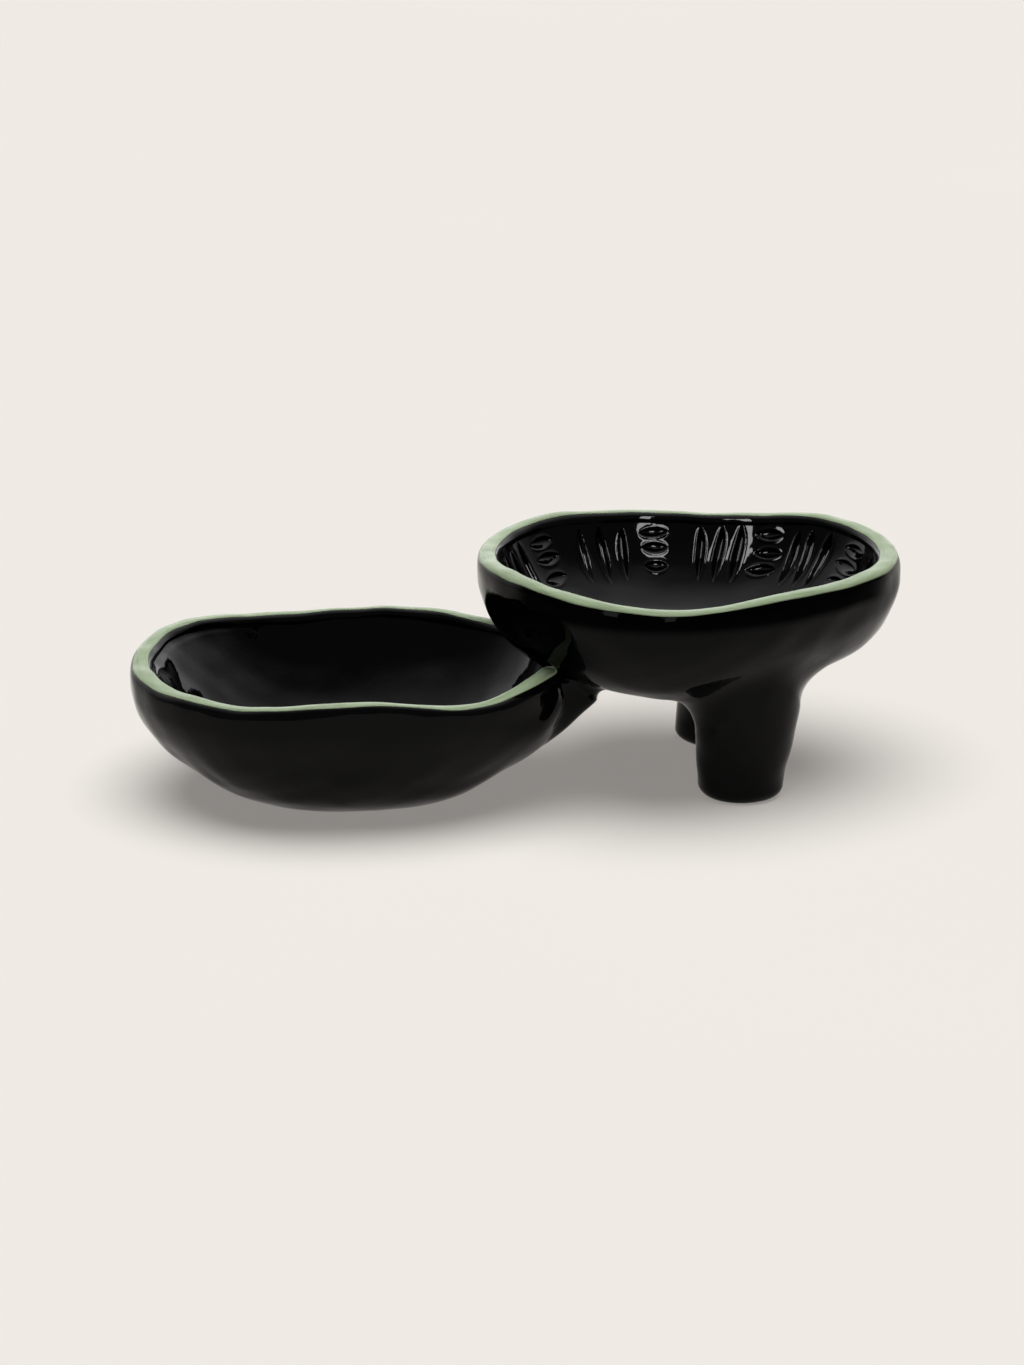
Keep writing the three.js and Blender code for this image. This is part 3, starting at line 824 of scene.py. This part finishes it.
def web_section(turn):
    """One closed section of the web, in a slice through the low bowl's axis."""
    full = float(smooth((math.radians(WEB_SPREAD) - abs(turn)) / math.radians(WEB_FADE)))
    near = float(smooth((math.radians(WEB_NEAR) - abs(turn)) / math.radians(WEB_NEAR_FADE)))
    plan = float(lower.plan(turn))

    def roof(r):
        return upper.underside(lower.x + r * np.cos(turn), lower.y + r * np.sin(turn))

    def wall(z):
        return np.stack([lower.outer_radius(z) * plan, z + lower.lift(turn, z)], -1)

    # The crease where the low bowl goes in under the raised one, and the web's start on the wall below it
    heights = even(SEARCH_START, lower.widest_z + WEB_ON_LIP, SEARCH_STEPS)
    line_up = wall(heights)
    covered = np.flatnonzero(roof(line_up[:, 0]) < line_up[:, 1])
    top = covered[0] if len(covered) else len(heights) - 1
    crease = line_up[top]
    low = lerp(heights[top], WEB_LOW, full)
    below, start, above = wall(np.array([low - TANGENT_STEP, low, low + TANGENT_STEP]))
    tangent = (above - below) / np.linalg.norm(above - below)
    normal = np.array([-tangent[1], tangent[0]])

    # The web's upper end lies on the raised bowl, or on a shelf by the lip where that bowl is out of reach
    shelf = crease[1] + WEB_SHELF

    def ceiling(r):
        return min(float(roof(np.array(r))), shelf)

    meet = lerp(crease[0] - WEB_SINK, lower.widest * plan + WEB_REACH, near)
    touch = float(smooth((shelf + WEB_TOUCH - float(roof(np.array(meet)))) / WEB_TOUCH_FADE))
    outward = near * (2 * touch - 1)
    inner = np.array([meet, ceiling(meet)])
    swell = inner - np.array([0, WEB_UPRIGHT * near])
    bend = inner - np.array([0, WEB_BEND * WEB_CORNER * near])
    reach = np.linalg.norm(swell - start)
    ramp_curve = (start, start + tangent * reach * WEB_START, swell, bend)
    end_r = meet + WEB_CORNER * outward
    end = np.array([end_r, ceiling(end_r)])
    corner_curve = (bend, lerp(bend, inner, WEB_ROUNDNESS), lerp(end, inner, WEB_ROUNDNESS), end)

    line = [start - tangent * out * full + normal * rise * full for out, rise in WEB_UNDER]
    line += [bezier(ramp_curve, t) for t in even(0, 1, WEB_ROWS)]
    line += [bezier(corner_curve, t) for t in even(0, 1, WEB_CORNER_ROWS)[1:]]
    for out, rise in WEB_UNDER[::-1]:
        r = end_r + out * outward
        line.append(np.array([r, ceiling(r) + rise * near * touch]))
    line.append(crease + np.array([-WEB_ROOT, WEB_ROOT]))
    line.append(crease - np.array([WEB_ROOT, WEB_ROOT * full]))
    r, z = np.array(line).T
    return np.stack([lower.x + r * np.cos(turn), lower.y + r * np.sin(turn), z], -1)


web_end = WEB_ENDS * WEB_SPREAD
web_sections = np.array([web_section(math.radians(a)) for a in even(-web_end, web_end, WEB_COUNT)])
web = make_piece("bridge_clay", *tube(web_sections, False), BLACK)
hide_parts("bridge")

# Floor, lights and camera

FLOOR_HALF_METRES = 30
KEY_LEVEL = 0.55
FILL_LEVEL = 0.45
SOFT_ANGLE = 60

# The room that the glaze mirrors: where it is brightest, and how its light falls off away from there
BRIGHTEST_AZIMUTH = 178
BRIGHTEST_ELEVATION = 48
ROOM_MAP = {"From Min": 0.09, "From Max": 1.04, "To Min": 0.25, "To Max": 3.0}

# The two strips that make the window-like glints: the azimuth of each, and its width in metres
STRIPS = {"left_strip": (-36, 0.38), "middle_strip": (-2, 0.3)}
STRIP_ELEVATION = 31
STRIP_DISTANCE_METRES = 2.0
STRIP_HEIGHT_METRES = 1.2
STRIP_RADIANCE = 36

CAMERA_AZIMUTH = -7
CAMERA_ELEVATION = 18
CAMERA_DISTANCE_METRES = 1.1
CAMERA_TARGET = Vector((-2.15, -3.5, 32)) * MM
SENSOR_WIDTH = 36
FOCAL_LENGTH = 92.5
NEAREST_METRES = 0.05
FARTHEST_METRES = 100

floor_mesh = bpy.data.meshes.new("floor")
corners = [(-1, -1), (1, -1), (1, 1), (-1, 1)]
floor_corners = [(x * FLOOR_HALF_METRES, y * FLOOR_HALF_METRES, 0) for x, y in corners]
floor_mesh.from_pydata(floor_corners, [], [(0, 1, 2, 3)])
floor = bpy.data.objects.new("floor", floor_mesh)
bpy.context.scene.collection.objects.link(floor)
floor.data.materials.append(floor_material())

world = bpy.data.worlds.new("studio")
bpy.context.scene.world = world
world.use_nodes = True


def direction(azimuth, elevation):
    """A direction from degrees. Azimuth 0 is the front, at -Y, and 90 is the side at +X."""
    a, e = math.radians(azimuth), math.radians(elevation)
    return Vector((math.sin(a) * math.cos(e), -math.cos(a) * math.cos(e), math.sin(e)))


def overhead(name, level, casts_shadow):
    """A broad light from above. The floor and the green show their own colours under a level of one."""
    light = bpy.data.lights.new(name, "SUN")
    light.energy = math.pi * level
    light.angle = math.radians(SOFT_ANGLE)
    light.use_shadow = casts_shadow
    lamp = bpy.data.objects.new(name, light)
    lamp.visible_glossy = False
    bpy.context.scene.collection.objects.link(lamp)


def studio_walls():
    """The room that the glaze mirrors: bright overhead and at the back, dark at the front."""
    nodes, links = world.node_tree.nodes, world.node_tree.links
    way = nodes.new("ShaderNodeTexCoord").outputs["Generated"]
    towards = nodes.new("ShaderNodeVectorMath")
    towards.operation = "DOT_PRODUCT"
    towards.inputs[1].default_value = direction(BRIGHTEST_AZIMUTH, BRIGHTEST_ELEVATION)
    links.new(way, towards.inputs[0])
    level = nodes.new("ShaderNodeMapRange")
    level.interpolation_type = "SMOOTHSTEP"
    for socket, value in ROOM_MAP.items():
        level.inputs[socket].default_value = value
    links.new(towards.outputs["Value"], level.inputs["Value"])
    links.new(level.outputs["Result"], nodes["Background"].inputs["Strength"])
    nodes["Background"].inputs["Color"].default_value = (1, 1, 1, 1)
    world.cycles_visibility.diffuse = False


def strip(name, azimuth, width_metres, receivers):
    """A soft panel that the glaze mirrors. It faces the dish, and lights the receivers alone."""
    light = bpy.data.lights.new(name, "AREA")
    light.shape = "RECTANGLE"
    light.size, light.size_y = width_metres, STRIP_HEIGHT_METRES
    light.energy = STRIP_RADIANCE * math.pi * width_metres * STRIP_HEIGHT_METRES
    lamp = bpy.data.objects.new(name, light)
    towards = direction(azimuth, STRIP_ELEVATION)
    lamp.location = towards * STRIP_DISTANCE_METRES
    lamp.rotation_euler = towards.to_track_quat("Z", "Y").to_euler()
    lamp.visible_camera = False
    lamp.visible_diffuse = False
    bpy.context.scene.collection.objects.link(lamp)
    lamp.light_linking.receiver_collection = receivers


overhead("key", KEY_LEVEL, True)
overhead("fill", FILL_LEVEL, False)
studio_walls()
strip_lit = bpy.data.collections.new("strip_lit")
for piece in (high_clay, high_band, low_band):
    strip_lit.objects.link(piece)
for strip_name, (strip_azimuth, strip_width) in STRIPS.items():
    strip(strip_name, strip_azimuth, strip_width, strip_lit)

camera_data = bpy.data.cameras.new("camera")
camera_data.sensor_width = SENSOR_WIDTH
camera_data.lens = FOCAL_LENGTH
camera_data.clip_start = NEAREST_METRES
camera_data.clip_end = FARTHEST_METRES
camera = bpy.data.objects.new("camera", camera_data)
back = direction(CAMERA_AZIMUTH, CAMERA_ELEVATION)
camera.location = CAMERA_TARGET + back * CAMERA_DISTANCE_METRES
camera.rotation_euler = back.to_track_quat("Z", "Y").to_euler()
bpy.context.scene.collection.objects.link(camera)
bpy.context.scene.camera = camera

bpy.context.scene.view_settings.view_transform = "Standard"
